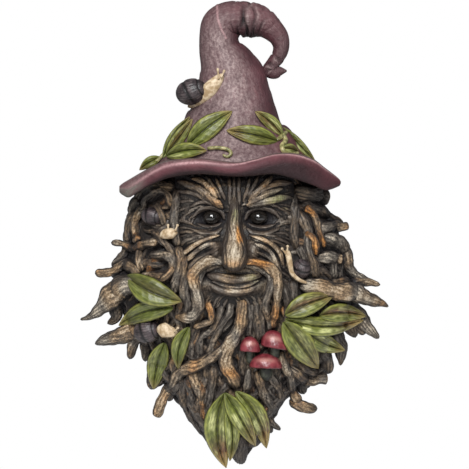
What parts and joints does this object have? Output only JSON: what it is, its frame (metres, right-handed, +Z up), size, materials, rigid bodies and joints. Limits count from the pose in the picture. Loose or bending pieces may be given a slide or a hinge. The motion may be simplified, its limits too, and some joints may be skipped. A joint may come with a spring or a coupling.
{
  "type": "green man wall plaque",
  "caption": "Wall plaque of a bearded tree spirit: a carved root face under a curled pointed hat, with leaves, snails and toadstools on a flat back.",
  "frame": {"origin": "on the flat back that rests against the wall, half-way up the plaque and level with the middle of the face", "axes": "+Y out of the back into the wall, so the face looks towards -Y; +Z up to the top of the hat; +X to the right as the plaque is seen from the front"},
  "size_m": [0.198, 0.0707, 0.3005],
  "materials": {
    "painted_resin": "hand-painted cast resin, dark umber with dry-brushed highlights, satin"
  },
  "bodies": {
    "root": {"plaque": "painted_resin"}
  },
  "joints": []
}
